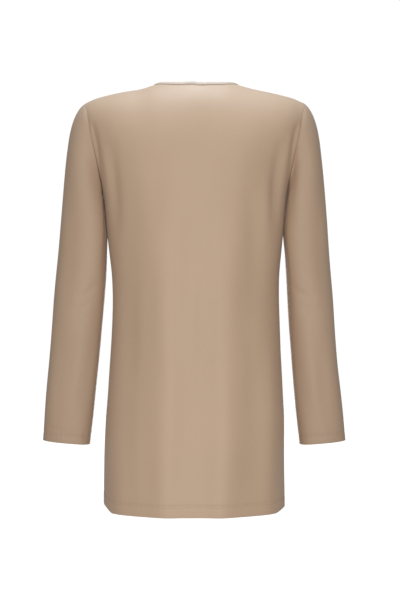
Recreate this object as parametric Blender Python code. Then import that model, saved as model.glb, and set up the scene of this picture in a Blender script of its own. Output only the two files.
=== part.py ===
"""Long-sleeved tunic top in soft jersey, hollow and hanging as it does when worn.

Metres, +Z up. The front faces -Y, the wearer's left is +X, and the origin lies at the neck,
level with the shoulder seams' inner ends. Each piece of cloth is a wall: an outer surface
computed from a short table of sections, and the same surface moved in by the cloth's thickness.
"""
import bpy
import numpy as np

MM = 0.001

# Cloth and seams
CLOTH = 1.4 * MM
SEAM_GAP = 0.3 * MM
SLEEVE_SEAM_GAP = 0.45 * MM
SLEEVE_CLEARANCE = 0.6 * MM

# Heights
HEM = -774.5 * MM
UNDERARM = -200 * MM
SHOULDER_TIP = -34.5 * MM
SLEEVE_TUBE_TOP = -228 * MM
CUFF = -655 * MM

# Neckline, an oval in plan
NECK_HALF_WIDTH = 77 * MM
NECK_SHIFT = -3.5 * MM
NECK_DEPTH = {"back": 53.5 * MM, "front": 84 * MM}

# Round-over from the shoulder line down to the full depth of the body
ROUND_REACH = {"back": 209 * MM, "front": 253 * MM}
ROUND_POWER = {"back": 2.2, "front": 1.6}

# Section of a sleeve: 2 is an ellipse, more is squarer
SLEEVE_POWER = 2.3

# Neck binding
BINDING_HEIGHT = 8 * MM
BINDING_THICKNESS = 2.4 * MM
BINDING_ROUNDING = 0.7 * MM
BINDING_LEAN = {"middle": np.radians(20), "side": np.radians(62)}

# Finish
CLOTH_COLOUR = (0.46, 0.33, 0.25)
BINDING_COLOUR = (0.50, 0.37, 0.29)
CLOTH_ROUGHNESS = 0.85

# Mesh steps
BODY_ROWS = 12
ROW_GRADING = 1.5
ARMHOLE_ROWS = 10
NECK_COLUMNS = 6
SHOULDER_COLUMNS = 7
CAP_RINGS = 8
CAP_GRADING = 1.3
TUBE_RINGS = 13

# How far the hem's corners are hitched up at the side seams, from which share of the half width,
# and how high up that fades
HEM_HITCH = 9.5 * MM
HITCH_START = 0.88
HITCH_FADE = 70 * MM

# Share of a fold's way down at which it has its full height
FOLD_GROWTH = 0.45

# Cap of the sleeve: the slope at which it leaves the armhole, at the top and under the arm,
# and the reach of its curve at each end, as a share of the way to the straight tube
CAP_SLOPE_TOP = {"left": np.radians(35), "right": np.radians(42)}
CAP_SLOPE_UNDER = np.radians(80)
CAP_REACH_START = 0.22
CAP_REACH_END = 0.50
CUFF_TILT = 0.092

OUTWARD = {"back": 1, "front": -1}
SIDES = {"left": 1, "right": -1}


def table(names, *rows):
    """A short table: an array of metres for each named column, rows from the bottom up."""
    return dict(zip(names.split(), np.array(rows, dtype=float).T * MM))


# Shoulder line: its height at a distance from the middle; inside the neck it is only a guide
SHOULDER = table(
    "distance height",
    (-40, 6.0),
    (0, 11.5),
    (40, 6.0),
    (77, -1.8),
    (105, -9.6),
    (134, -15.8),
    (159, -21.2),
    (180, -26.6),
    (199, -34.5),
)

# Body sections: half width, sideways shift, depth behind and before the side seams, and power in
# thousandths, where 2000 is an ellipse and more is squarer
BODY = table(
    "height half_width shift back front power",
    (-774.5, 165.0, 2.0, 114, 116, 2300),
    (-720, 164.7, 1.8, 111, 116, 2260),
    (-654, 164.0, 1.0, 108, 116, 2230),
    (-610, 162.9, 0.0, 106, 117, 2200),
    (-567, 160.1, -0.8, 104, 117, 2180),
    (-523, 157.4, -1.4, 103, 118, 2160),
    (-479, 154.6, -1.6, 103, 119, 2150),
    (-435, 152.8, -1.6, 103, 121, 2150),
    (-390, 152.0, -1.6, 104, 123, 2150),
    (-347, 153.2, -1.2, 106, 125, 2160),
    (-303, 157.8, -0.6, 109, 127, 2200),
    (-265, 161.8, 0.0, 111, 129, 2250),
    (-228, 165.0, 0.0, 113, 129, 2320),
    (-200, 168.5, 0.0, 113, 129, 2400),
    (-185, 171.5, 0.0, 113, 129, 2450),
    (-156, 180.0, 0.0, 113, 129, 2540),
    (-127, 190.5, 0.0, 113, 129, 2600),
    (-97, 203.0, 0.0, 113, 129, 2600),
    (-60, 217.0, 0.0, 113, 129, 2600),
    (-34.5, 226.0, 0.0, 113, 129, 2600),
)

# Armhole seam: its distance from the middle
ARMHOLE = table(
    "height distance",
    (-200, 168.5),
    (-185, 169.4),
    (-156, 174.6),
    (-127, 181.0),
    (-97, 188.0),
    (-60, 194.3),
    (-34.5, 199.0),
)

# Sleeves: the tube's near and far edge from the middle, how far it hangs forward, and its girth
SLEEVE = {
    "left": table(
        "height inner outer forward girth",
        (-655, 193.5, 281.2, 18, 236),
        (-610, 188.0, 277.7, 14, 240),
        (-567, 183.4, 273.8, 11, 244),
        (-523, 178.6, 269.2, 8, 249),
        (-479, 174.0, 264.8, 5, 254),
        (-435, 169.8, 260.4, 2, 259),
        (-390, 165.7, 256.5, 0, 263),
        (-347, 162.4, 252.9, -1, 267),
        (-303, 160.9, 249.1, -1, 271),
        (-265, 162.8, 245.8, 0, 275),
        (-228, 165.8, 242.3, 0, 279),
    ),
    "right": table(
        "height inner outer forward girth",
        (-655, 192.6, 278.2, 18, 236),
        (-610, 187.2, 273.6, 14, 240),
        (-567, 182.8, 268.2, 11, 244),
        (-523, 178.9, 262.6, 8, 249),
        (-479, 175.3, 258.2, 5, 254),
        (-435, 171.7, 254.2, 2, 259),
        (-390, 169.1, 250.7, 0, 263),
        (-347, 166.8, 247.4, -1, 267),
        (-303, 164.0, 244.6, -1, 271),
        (-265, 163.2, 241.9, 0, 275),
        (-228, 165.8, 238.6, 0, 279),
    ),
}

# Broad hanging folds of the body: where each starts, where it meets the hem, its half width
# and how far it stands out there
FOLDS = {
    "back": table(
        "top_x top_height hem_x half_width rise",
        (62, -150, 55, 36, 5.0),
        (-70, -150, -53, 36, 5.5),
    ),
    "front": table(
        "top_x top_height hem_x half_width rise",
        (58, -190, 66, 36, 4.5),
        (-56, -200, -62, 34, 5.0),
    ),
}


def curve(rows, column, at, along="height"):
    """Smooth curve through a table's column: a cubic from row to row, its slopes from their neighbours."""
    places, values = rows[along], rows[column]
    slopes = np.gradient(values, places)
    i = np.clip(np.searchsorted(places, at) - 1, 0, len(places) - 2)
    step = places[i + 1] - places[i]
    t = np.clip((at - places[i]) / step, 0, 1)
    start = (2 * t**3 - 3 * t**2 + 1) * values[i] + (t**3 - 2 * t**2 + t) * step * slopes[i]
    end = (3 * t**2 - 2 * t**3) * values[i + 1] + (t**3 - t**2) * step * slopes[i + 1]
    return start + end


def unit(vectors):
    """Vectors scaled to length one."""
    return vectors / np.linalg.norm(vectors, axis=-1, keepdims=True)


def smooth(x):
    """Step from 0 to 1 with level ends: 3x^2 - 2x^3."""
    x = np.clip(x, 0, 1)
    return x * x * (3 - 2 * x)


def rounded(fraction, power):
    """Height of a superellipse quarter: 1 in the middle, 0 where the fraction reaches 1."""
    return (1 - np.clip(np.abs(fraction), 0, 1) ** power) ** (1 / power)


def shoulder_line(x):
    """Height of the shoulder line over a point at distance x from the middle."""
    return curve(SHOULDER, "height", np.abs(x), along="distance")


def round_over(x, z, panel):
    """Share of the body's depth that is reached at this height: 0 on the shoulder line, then 1."""
    below = (shoulder_line(x) - z) / ROUND_REACH[panel]
    return rounded(1 - np.clip(below, 0, 1), ROUND_POWER[panel])


def fold_relief(x, z, panel):
    """Broad folds: each a cosine hump on a slanting line, growing from its top down."""
    rows = FOLDS[panel]
    relief = np.zeros_like(x)
    for top_x, top_height, hem_x, half_width, rise in zip(*rows.values()):
        down = np.clip((top_height - z) / (top_height - HEM), 0, 1)
        middle = top_x + (hem_x - top_x) * down
        across = np.clip((x - middle) / half_width, -1, 1)
        relief = relief + rise * smooth(down / FOLD_GROWTH) * (1 + np.cos(np.pi * across)) / 2
    return relief


def body_power(z):
    """Power of the body's section, from the table's thousandths."""
    return curve(BODY, "power", z)


def body_depth(x, z, panel):
    """Distance of the panel from the plane of the side seams: section outline times round-over."""
    outline = rounded(x / curve(BODY, "half_width", z), body_power(z))
    depth = curve(BODY, panel, z) + fold_relief(x, z, panel)
    return depth * outline * round_over(x, z, panel)


def body_side(y, z, panel):
    """Distance of the body's side from its middle at depth y: body_depth turned round."""
    share = np.abs(y) / curve(BODY, panel, z)
    return curve(BODY, "half_width", z) * rounded(share, body_power(z))


def top_edge(x, panel):
    """Height of a panel's top edge: the shoulder seam, and between its inner ends the neckline.

    The neckline is the panel's own surface where its plan meets the neck oval.
    """
    oval = NECK_DEPTH[panel] * np.sqrt(np.clip(1 - (x / NECK_HALF_WIDTH) ** 2, 0, 1))
    outline = rounded(x / BODY["half_width"][-1], BODY["power"][-1])
    share = oval / (BODY[panel][-1] * outline)
    below = ROUND_REACH[panel] * (1 - rounded(share, ROUND_POWER[panel]))
    return shoulder_line(x) - below


def column_shares():
    """Columns across a panel as shares of its half width: two sets, for its body and its top edge.

    The body's are even round the section. The top edge's have one on each inner shoulder end.
    """
    neck = NECK_HALF_WIDTH / SHOULDER["distance"][-1]
    inner = neck * np.sin(np.linspace(0, np.pi / 2, NECK_COLUMNS + 1))
    outer = neck + (1 - neck) * np.sin(np.linspace(0, np.pi / 2, SHOULDER_COLUMNS + 1)[1:])
    body = np.sin(np.linspace(0, np.pi / 2, NECK_COLUMNS + SHOULDER_COLUMNS + 1))
    halves = np.stack([body, np.concatenate([inner, outer])])
    return np.concatenate([-halves[:, :0:-1], halves], axis=1)


def side_heights():
    """Heights of the rows at a panel's side: closer towards the underarm, dense at the armhole's ends."""
    down = np.linspace(1, 0, BODY_ROWS + 1)[:-1] ** ROW_GRADING
    seam = UNDERARM + (HEM - UNDERARM) * down
    turn = np.linspace(0, np.pi, ARMHOLE_ROWS + 1)
    armhole = UNDERARM + (SHOULDER_TIP - UNDERARM) * (1 - np.cos(turn)) / 2
    return np.concatenate([seam, armhole])


def surface_normals(points, outward):
    """Unit normals of a grid of points, as the cross product of its two directions."""
    across = np.gradient(points, axis=1)
    up = np.gradient(points, axis=0)
    return unit(np.cross(across, up)) * outward


def panel_surface(panel):
    """Outer surface of a body panel, rows from the hem up and columns from -X to +X, and its normals."""
    heights = side_heights()
    side_x = np.where(heights <= UNDERARM, curve(BODY, "half_width", heights),
                      curve(ARMHOLE, "distance", heights))
    climb = np.clip((heights - UNDERARM) / (SHOULDER_TIP - UNDERARM), 0, 1)[:, None]
    body_shares, top_shares = column_shares()
    shares = body_shares + climb * (top_shares - body_shares)
    x = side_x[:, None] * shares
    hitch = HEM_HITCH * smooth((np.abs(shares) - HITCH_START) / (1 - HITCH_START))
    hitch = hitch * (1 - smooth((heights[:, None] - HEM) / HITCH_FADE))
    top = top_edge(x[-1], panel)
    z = np.where(climb > 0, UNDERARM + climb * (top - UNDERARM), heights[:, None] + hitch)
    y = OUTWARD[panel] * np.maximum(body_depth(x, z, panel), SEAM_GAP / 2)
    neck_pull = NECK_SHIFT * climb * np.clip(1 - np.abs(x) / side_x[-1], 0, 1)
    points = np.stack([x + curve(BODY, "shift", z) + neck_pull, y, z], axis=-1)
    return points, surface_normals(points, -OUTWARD[panel])


def inner_panel_surface(panel):
    """Inner surface of a body panel: the outer one moved in, and kept on its own side of the seams."""
    points, normals = panel_surface(panel)
    inner = points - CLOTH * normals
    inner[..., 1] = OUTWARD[panel] * np.maximum(OUTWARD[panel] * inner[..., 1], SEAM_GAP / 2)
    return inner


def armhole_loop(side):
    """Armhole from the underarm up the back and down the front: points, cloth normals, way out."""
    sign = SIDES[side]
    loop = {}
    for panel in ("back", "front"):
        points, normals = panel_surface(panel)
        column = -1 if sign > 0 else 0
        edge, cloth = points[BODY_ROWS:, column], normals[BODY_ROWS:, column]
        way_out = unit(np.cross(cloth, np.gradient(edge, axis=0))) * sign * OUTWARD[panel]
        loop[panel] = np.stack([edge, cloth, way_out])
    ends = (loop["back"] + loop["front"]) / 2
    up_the_back, down_the_front = loop["back"][:, 1:-1], loop["front"][:, -2:0:-1]
    edge, cloth, way_out = np.concatenate([ends[:, :1], up_the_back, ends[:, -1:], down_the_front], axis=1)
    return edge, unit(cloth), unit(way_out)


def sleeve_angles():
    """Angle of each point round a sleeve: half a turn under the arm, 0 on the outside."""
    return np.pi - np.arange(2 * ARMHOLE_ROWS) * np.pi / ARMHOLE_ROWS


def sleeve_ring(side, height):
    """Ring of a sleeve's tube: a superellipse of the table's width and girth, tilted with the arm."""
    rows, angle = SLEEVE[side], sleeve_angles()
    inner, outer = curve(rows, "inner", height), curve(rows, "outer", height)
    half_width = (outer - inner) / 2
    mean_square = 2 * (curve(rows, "girth", height) / (2 * np.pi)) ** 2
    half_depth = np.sqrt(mean_square - half_width**2)
    reach = (np.abs(np.cos(angle) / half_width) ** SLEEVE_POWER
             + np.abs(np.sin(angle) / half_depth) ** SLEEVE_POWER) ** (-1 / SLEEVE_POWER)
    x = (inner + outer) / 2 + reach * np.cos(angle)
    y = reach * np.sin(angle) - curve(rows, "forward", height)
    z = height + CUFF_TILT * reach * np.cos(angle)
    return np.stack([x * SIDES[side], y, z], axis=-1)


def sleeve_cap(side):
    """Rings from the armhole to the tube: a cubic curve for each point round the sleeve."""
    edge, cloth, way_out = armhole_loop(side)
    tube = sleeve_ring(side, SLEEVE_TUBE_TOP)
    below = sleeve_ring(side, SLEEVE_TUBE_TOP - 10 * MM)
    under = (1 - np.cos(sleeve_angles())) / 2
    slope = CAP_SLOPE_TOP[side] + (CAP_SLOPE_UNDER - CAP_SLOPE_TOP[side]) * under
    leave = np.stack([np.cos(slope) * SIDES[side], np.zeros_like(slope), -np.sin(slope)], axis=-1)
    chord = np.linalg.norm(tube - edge, axis=-1, keepdims=True)
    first = edge + SLEEVE_SEAM_GAP * way_out
    second = first + CAP_REACH_START * chord * leave
    third = tube + CAP_REACH_END * chord * unit(tube - below)
    t = np.linspace(0, 1, CAP_RINGS + 1)[:, None, None] ** CAP_GRADING
    return (1 - t) ** 3 * first + 3 * t * (1 - t) ** 2 * second + 3 * t**2 * (1 - t) * third + t**3 * tube


def clear_of_body(rings, side):
    """Rings with the points on the arm's inner half moved out, just clear of the body's side."""
    x, y, z = np.moveaxis(rings, -1, 0)
    out = x * SIDES[side]
    body = np.where(y > 0, body_side(y, z, "back"), body_side(y, z, "front"))
    body = body + curve(BODY, "shift", z) * SIDES[side] + SLEEVE_CLEARANCE
    inner_half = np.cos(sleeve_angles())[None, :] < 0.01
    pushed = np.where(inner_half, np.maximum(out, body), out)
    return np.stack([pushed * SIDES[side], y, z], axis=-1)


def sleeve_surface(side):
    """Outer surface of a sleeve, rings from the armhole to the cuff, and its normals."""
    heights = np.linspace(SLEEVE_TUBE_TOP, CUFF, TUBE_RINGS + 1)[1:]
    tube = np.stack([sleeve_ring(side, height) for height in heights])
    rings = clear_of_body(np.concatenate([sleeve_cap(side), tube]), side)
    wrapped = np.concatenate([rings[:, -1:], rings, rings[:, :1]], axis=1)
    normals = surface_normals(wrapped, SIDES[side])[:, 1:-1]
    return rings, normals


def seat_on_armhole(rings, normals, side):
    """First ring set just off the armhole, its edge turned to lie along the panels' edges.

    Where the sleeve folds back under the arm it starts beside the panel's face instead.
    """
    edge, cloth, way_out = armhole_loop(side)
    agree = np.sum(cloth * normals[1], axis=-1, keepdims=True)
    rings[0] = edge + SLEEVE_SEAM_GAP * (way_out + cloth * (1 - agree) / 2)
    share = np.clip(agree, 0, 1)
    normals[0] = unit(share * cloth + (1 - share) * normals[1])
    return rings, normals


def neck_loop():
    """Neckline as a closed loop, the back from -X to +X and then the front: points and normals."""
    centre = NECK_COLUMNS + SHOULDER_COLUMNS
    middle = slice(centre - NECK_COLUMNS, centre + NECK_COLUMNS + 1)
    back = np.stack([part[-1, middle] for part in panel_surface("back")])
    front = np.stack([part[-1, middle] for part in panel_surface("front")])[:, ::-1]
    near, far = (back[:, :1] + front[:, -1:]) / 2, (back[:, -1:] + front[:, :1]) / 2
    points, normals = np.concatenate([near, back[:, 1:-1], far, front[:, 1:-1]], axis=1)
    return points, unit(normals)


def binding_profile():
    """Section of the binding: share of its thickness from the middle, height; rounded at the top."""
    half, flat = BINDING_THICKNESS / 2, BINDING_HEIGHT - BINDING_ROUNDING
    inset = half - BINDING_ROUNDING
    right = [(half, 0), (half, flat), (inset, BINDING_HEIGHT)]
    return right + [(-out, high) for out, high in reversed(right)]


def grid_faces(rows, count, closed, start=0):
    """Quads of a grid of rows, each with count points; closed joins the last point to the first."""
    i, j = np.meshgrid(np.arange(rows - 1), np.arange(count if closed else count - 1), indexing="ij")
    following = (j + 1) % count
    low, high = i * count, (i + 1) * count
    return np.stack([low + j, low + following, high + following, high + j], axis=-1).reshape(-1, 4) + start


def rim_faces(loop, offset):
    """Quads that join a loop of outer points to the same loop of inner points."""
    following = np.roll(loop, -1)
    return np.stack([loop, loop + offset, following + offset, following], axis=-1)


def make_mesh(name, vertices, faces, colour, roughness):
    """One object with its own cloth material, its faces turned out."""
    mesh = bpy.data.meshes.new(name)
    mesh.from_pydata(vertices.tolist(), [], faces.tolist())
    mesh.update()
    material = bpy.data.materials.new(name)
    material.use_nodes = True
    shader = material.node_tree.nodes["Principled BSDF"]
    shader.inputs["Base Color"].default_value = (*colour, 1)
    shader.inputs["Roughness"].default_value = roughness
    mesh.materials.append(material)
    mesh.shade_smooth()
    thing = bpy.data.objects.new(name, mesh)
    bpy.context.scene.collection.objects.link(thing)
    return thing


def make_panel(panel):
    """Front or back of the body: a four-sided wall of cloth, closed along its edges."""
    outer, _ = panel_surface(panel)
    inner = inner_panel_surface(panel)
    rows, count = outer.shape[:2]
    offset = rows * count
    index = np.arange(offset).reshape(rows, count)
    border = np.concatenate([index[0, :-1], index[:-1, -1], index[-1, :0:-1], index[:0:-1, 0]])
    faces = np.concatenate([
        grid_faces(rows, count, False),
        grid_faces(rows, count, False, offset)[:, ::-1],
        rim_faces(border, offset),
    ])
    if panel == "back":
        faces = faces[:, ::-1]
    vertices = np.concatenate([outer.reshape(-1, 3), inner.reshape(-1, 3)])
    return make_mesh(panel, vertices, faces, CLOTH_COLOUR, CLOTH_ROUGHNESS)


def make_sleeve(side):
    """Set-in sleeve: a tube wall of cloth, open at the armhole and at the cuff."""
    outer, normals = seat_on_armhole(*sleeve_surface(side), side)
    inner = outer - CLOTH * normals
    rings, count = outer.shape[:2]
    offset = rings * count
    index = np.arange(offset).reshape(rings, count)
    faces = np.concatenate([
        grid_faces(rings, count, True),
        grid_faces(rings, count, True, offset)[:, ::-1],
        rim_faces(index[0], offset),
        rim_faces(index[-1, ::-1], offset),
    ])
    if side == "right":
        faces = faces[:, ::-1]
    vertices = np.concatenate([outer.reshape(-1, 3), inner.reshape(-1, 3)])
    return make_mesh("sleeve_" + side, vertices, faces, CLOTH_COLOUR, CLOTH_ROUGHNESS)


def make_binding():
    """Neck binding: a narrow upright strip that follows the neckline all round."""
    points, normals = neck_loop()
    along = unit(np.roll(points, -1, axis=0) - np.roll(points, 1, axis=0))
    across = unit(np.cross(along, normals))
    up = np.array([0.0, 0.0, 1.0])
    inward = unit(np.cross(along, up))
    lean = BINDING_LEAN["middle"] + (BINDING_LEAN["side"] - BINDING_LEAN["middle"]) * inward[:, :1] ** 2
    upright = np.cos(lean) * up + np.sin(lean) * inward
    upright = unit(upright - np.sum(upright * along, axis=-1, keepdims=True) * along)
    facing = unit(np.cross(upright, along))
    seat = SEAM_GAP + BINDING_THICKNESS / 2 * np.abs(np.sum(facing * across, axis=-1, keepdims=True))
    base = points - CLOTH / 2 * normals + seat * across
    profile = [base + out * facing + high * upright for out, high in binding_profile()]
    count, corners = len(points), len(profile)
    vertices = np.concatenate(profile)
    faces = grid_faces(corners, count, True)
    closing = np.stack([faces[:count, 0], faces[:count, 1]], axis=-1)
    last = closing + (corners - 1) * count
    bottom = np.stack([closing[:, 1], closing[:, 0], last[:, 0], last[:, 1]], axis=-1)
    faces = np.concatenate([faces, bottom])[:, ::-1]
    return make_mesh("neck_binding", vertices, faces, BINDING_COLOUR, CLOTH_ROUGHNESS)


def main():
    """Clear the scene and make the five pieces."""
    for thing in list(bpy.data.objects):
        bpy.data.objects.remove(thing)
    for panel in OUTWARD:
        make_panel(panel)
    for side in SIDES:
        make_sleeve(side)
    make_binding()


main()
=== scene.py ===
"""Looks of a long-sleeved tunic top in fine matt jersey, filled out as if worn.

Metres, +Z up, the front faces -Y and the wearer's left is +X. Each piece of cloth is a thin wall on a
fine grid, worked out from the same few sections as its solid, with the creases, seams, hems and
stitches that the solid leaves out.
"""
import bpy
import numpy as np
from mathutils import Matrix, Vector


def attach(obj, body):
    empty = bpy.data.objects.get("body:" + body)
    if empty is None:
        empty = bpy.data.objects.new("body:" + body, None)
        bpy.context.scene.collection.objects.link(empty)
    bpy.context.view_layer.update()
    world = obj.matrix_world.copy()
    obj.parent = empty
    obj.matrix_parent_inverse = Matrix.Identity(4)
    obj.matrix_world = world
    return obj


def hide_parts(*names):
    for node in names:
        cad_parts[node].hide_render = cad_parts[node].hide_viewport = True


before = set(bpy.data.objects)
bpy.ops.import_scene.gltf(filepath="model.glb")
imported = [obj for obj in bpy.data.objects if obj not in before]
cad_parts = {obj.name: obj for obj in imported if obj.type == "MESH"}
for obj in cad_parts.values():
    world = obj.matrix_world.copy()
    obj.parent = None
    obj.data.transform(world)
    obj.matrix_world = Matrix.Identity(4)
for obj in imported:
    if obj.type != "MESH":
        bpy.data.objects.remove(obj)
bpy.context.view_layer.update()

MM = 0.001

# Cloth and seams
CLOTH = 1.2 * MM
SEAM_GAP = 0.16 * MM
SIDE_SEAM_GAP = 0.03 * MM
SLEEVE_CLEARANCE = 0.1 * MM
SEAM_DIP = 0.25 * MM
SEAM_DIP_WIDTH = 1.4 * MM
EDGE_CALM = 6 * MM
SEAM_EASE = 2 * MM

# Heights
HEM = -774.5 * MM
UNDERARM = -200 * MM
SHOULDER_TIP = -34.5 * MM
SLEEVE_TUBE_TOP = -228 * MM
TUBE_LEAD = 10 * MM
CUFF = -655 * MM

# Neckline, an oval in plan, with a small dip where the binding is joined
NECK_HALF_WIDTH = 77 * MM
NECK_SHIFT = -3.5 * MM
NECK_DEPTH = {"back": 53.5 * MM, "front": 84 * MM}
NECK_DIP = {"middle": -8 * MM, "half_width": 13 * MM, "slope": 5 * MM, "depth": 1.7 * MM}

# Round-over from the shoulder line down to the full depth of the body; beside the sleeves it is read
# at the armhole's distance from the middle, and never below the least share
ROUND_REACH = {"back": 209 * MM, "front": 253 * MM}
ROUND_POWER = {"back": 2.2, "front": 1.6}
ARMHOLE_MIDDLE = 180 * MM
LEAST_ROUND = 0.05

# Share of a fold's way down at which it has its full height
FOLD_GROWTH = 0.45

# Creases: straight steps to a bent line, and the power of the sine that they swell and fade with
CREASE_STEPS = 14
CREASE_SWELL = 0.8

# Section of a sleeve: 2 is an ellipse, more is squarer
SLEEVE_POWER = 2.3

# Neck binding
BINDING_HEIGHT = 6.6 * MM
BINDING_THICKNESS = 2.2 * MM
BINDING_LEAN = {"middle": np.radians(20), "side": np.radians(62)}
BINDING_POWER = 3.2
BINDING_BELLY = {"swell": 0.22, "height": 0.32 * BINDING_HEIGHT, "half_width": 0.3 * BINDING_HEIGHT}
BINDING_POINTS = 28

# Hems: the turned-up band and how much thicker it is, its stitch rows and their puckers, and how far
# the corners are hitched up at the side seams
HEM_BAND = 20 * MM
HEM_EXTRA = 0.8
HEM_ROWS = (17.5 * MM, 21.0 * MM)
CUFF_ROWS = (13.5 * MM, 16.5 * MM)
HEM_HITCH = {"left": 9.5 * MM, "right": 6 * MM}
HITCH_START = 0.88
HITCH_FADE = 70 * MM
STITCH_DIP = 0.45 * MM
STITCH_DIP_WIDTH = 1.3 * MM
PUCKER = 0.16 * MM
PUCKER_LENGTH = 11 * MM
PUCKER_FADE = 7 * MM
SECOND_PUCKER = {"height": 0.6, "length": 1.7 * PUCKER_LENGTH}

# Stitches
STITCH_LENGTH = 2.6 * MM
STITCH_STEP = 3.2 * MM
THREAD = 0.24 * MM
STITCH_ARCH = 1.3
STITCH_SINK = 0.9
STITCH_END = 0.25
STITCH_RINGS = 6
STITCH_SIDES = 5

# Grid steps, and the angle past which an edge is drawn sharp
HEM_BAND_ROWS = 26
BODY_ROWS = 170
ARMHOLE_ROWS = 60
NECK_COLUMNS = 36
SHOULDER_COLUMNS = 44
CAP_RINGS = 60
CAP_GRADING = 1.3
TUBE_RINGS = 130
RIM_STEPS = 4
SHARP_ANGLE = np.radians(65)

# How far a free edge and a sewn edge of the cloth swell, as a share of half the wall
FREE_RIM = 1.0
SEWN_RIM = 0.05

# Cap of the sleeve, its tilt and its inner half, which lies on the body and has no creases
CAP_SLOPE_TOP = {"left": np.radians(35), "right": np.radians(42)}
CAP_SLOPE_UNDER = np.radians(80)
CAP_REACH_START = 0.22
CAP_REACH_END = 0.50
CUFF_TILT = 0.092
ARM_RADIUS = 42 * MM
INNER_HALF = 0.01
CREASE_FREE = {"start": -0.97, "width": 0.25}

OUTWARD = {"back": 1, "front": -1}
SIDES = {"left": 1, "right": -1}

# Knit and finishes, with the painted shade of the sleeves and of the neck seam
WALE = 0.85 * MM
COURSE = 0.62 * MM
PATCH_SCALE = 7.0
SLUB_SCALE = (900.0, 120.0, 1.0)
FUZZ_SCALE = 1400.0
TWIST_SCALE = 2500.0
KNIT_RELIEF = 0.06 * MM
JERSEY_LIGHT = (0.500, 0.347, 0.235)
JERSEY_DARK = (0.440, 0.302, 0.202)
BINDING_LIGHT = (0.57, 0.47, 0.39)
BINDING_DARK = (0.52, 0.42, 0.34)
# Painted shade: the sleeves' colour is the body's colour scaled by this, darker because less light falls
# on the sleeves
SLEEVE_PAINTED_SHADE = 0.89
BODY_SHEEN = 0.2
BINDING_SHEEN = 0.3
SHEEN_TINT = (1.0, 0.86, 0.74)
THREAD_COLOUR = (0.38, 0.265, 0.19)
# Painted shade: the neck seam's thread is near black so that it stands in for the shade in the groove
# under the binding
SEAM_THREAD_PAINTED_SHADE_COLOUR = (0.20, 0.13, 0.09)
FLOOR_COLOUR = (0.88, 0.875, 0.865)

# Camera, surroundings and floor
CAMERA_PLACE = (-9.15 * MM, 2450 * MM, -394.4 * MM)
CAMERA_LENS = 80.3
WORLD_LIGHT = 0.36
WORLD_SEEN = 1.02
FLOOR_HEIGHT = -1.40
FLOOR_RADIUS = 9.0
FLOOR_CORNERS = 96


def table(names, *rows):
    """A short table: an array of metres for each named column."""
    return dict(zip(names.split(), np.array(rows, dtype=float).T * MM))


SHOULDER = table(
    "distance height",
    (-40, 6.0),
    (0, 11.5),
    (40, 6.0),
    (77, -1.8),
    (105, -9.6),
    (134, -15.8),
    (159, -21.2),
    (180, -26.6),
    (199, -34.5),
)

# Body sections; the power is in thousandths, where 2000 is an ellipse and more is squarer
BODY = table(
    "height half_width shift back front power",
    (-774.5, 165.0, 2.0, 114, 116, 2300),
    (-720, 164.7, 1.8, 111, 116, 2260),
    (-654, 164.0, 1.0, 108, 116, 2230),
    (-610, 162.9, 0.0, 106, 117, 2200),
    (-567, 160.1, -0.8, 104, 117, 2180),
    (-523, 157.4, -1.4, 103, 118, 2160),
    (-479, 154.6, -1.6, 103, 119, 2150),
    (-435, 152.8, -1.6, 103, 121, 2150),
    (-390, 152.0, -1.6, 104, 123, 2150),
    (-347, 153.2, -1.2, 106, 125, 2160),
    (-303, 157.8, -0.6, 109, 127, 2200),
    (-265, 161.8, 0.0, 111, 129, 2250),
    (-228, 165.0, 0.0, 113, 129, 2320),
    (-200, 168.5, 0.0, 113, 129, 2400),
    (-185, 171.5, 0.0, 113, 129, 2450),
    (-156, 180.0, 0.0, 113, 129, 2540),
    (-127, 190.5, 0.0, 113, 129, 2600),
    (-97, 203.0, 0.0, 113, 129, 2600),
    (-60, 217.0, 0.0, 113, 129, 2600),
    (-34.5, 226.0, 0.0, 113, 129, 2600),
)

ARMHOLE = table(
    "height distance",
    (-200, 168.5),
    (-185, 169.4),
    (-156, 174.6),
    (-127, 181.0),
    (-97, 188.0),
    (-60, 194.3),
    (-34.5, 199.0),
)

SLEEVE = {
    "left": table(
        "height inner outer forward girth",
        (-655, 193.5, 281.2, 18, 236),
        (-610, 188.0, 277.7, 14, 240),
        (-567, 183.4, 273.8, 11, 244),
        (-523, 178.6, 269.2, 8, 249),
        (-479, 174.0, 264.8, 5, 254),
        (-435, 169.8, 260.4, 2, 259),
        (-390, 165.7, 256.5, 0, 263),
        (-347, 162.4, 252.9, -1, 267),
        (-303, 160.9, 249.1, -1, 271),
        (-265, 160.4, 245.8, 0, 275),
        (-228, 163.4, 242.3, 0, 279),
    ),
    "right": table(
        "height inner outer forward girth",
        (-655, 192.6, 278.2, 18, 236),
        (-610, 187.2, 273.6, 14, 240),
        (-567, 182.8, 268.2, 11, 244),
        (-523, 178.9, 262.6, 8, 249),
        (-479, 175.3, 258.2, 5, 254),
        (-435, 171.7, 254.2, 2, 259),
        (-390, 169.1, 250.7, 0, 263),
        (-347, 166.8, 247.4, -1, 267),
        (-303, 164.0, 244.6, -1, 271),
        (-265, 161.0, 241.9, 0, 275),
        (-228, 163.4, 238.6, 0, 279),
    ),
}

# Broad hanging folds, within 2 mm of the solids' own
FOLDS = {
    "back": table(
        "top_x top_height hem_x half_width rise",
        (60, -150, 52, 42, 5.8),
        (-69, -150, -52, 42, 6.2),
    ),
    "front": table(
        "top_x top_height hem_x half_width rise",
        (58, -190, 66, 36, 4.5),
        (-56, -200, -62, 34, 5.0),
    ),
}

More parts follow.
